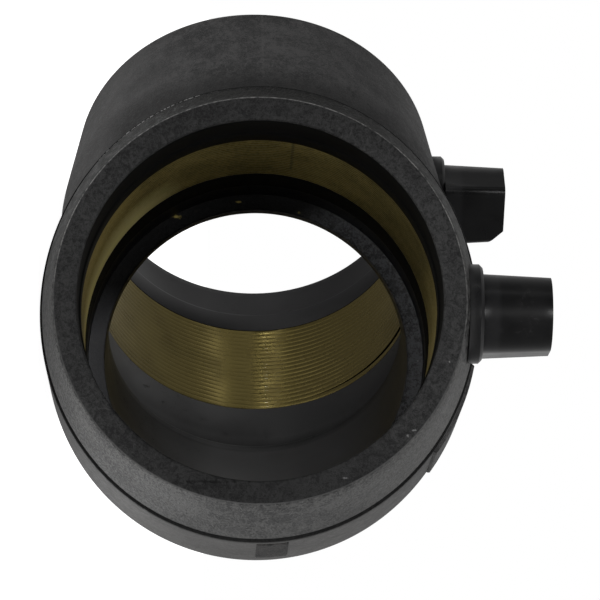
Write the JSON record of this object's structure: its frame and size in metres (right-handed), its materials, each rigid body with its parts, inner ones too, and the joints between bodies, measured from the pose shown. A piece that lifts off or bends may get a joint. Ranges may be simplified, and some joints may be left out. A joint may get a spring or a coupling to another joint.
{
  "type": "electrofusion elbow",
  "caption": "Forty-five degree plastic electrofusion elbow with two plain sockets, brass heating windings in the bores and shrouded contact pins on one side.",
  "frame": {"origin": "centre of the near socket's mouth, on the socket axis", "axes": "+Y runs into the near socket, +Z is the way the terminals point, and the bend turns towards -X in the XY plane"},
  "size_m": [0.1181, 0.1535, 0.0913],
  "materials": {
    "body_plastic": "fine grained black polyethylene, smoother in the bores",
    "heating_wire": "drawn wire, slightly dulled",
    "shroud_plastic": "smooth black, half gloss",
    "contact_metal": "turned pin"
  },
  "bodies": {
    "root": {"elbow_body": "body_plastic", "near_winding": "heating_wire", "far_winding": "heating_wire", "near_terminal_shroud": "shroud_plastic", "far_terminal_shroud": "shroud_plastic", "near_terminal_pin": "contact_metal", "far_terminal_pin": "contact_metal"}
  },
  "joints": []
}
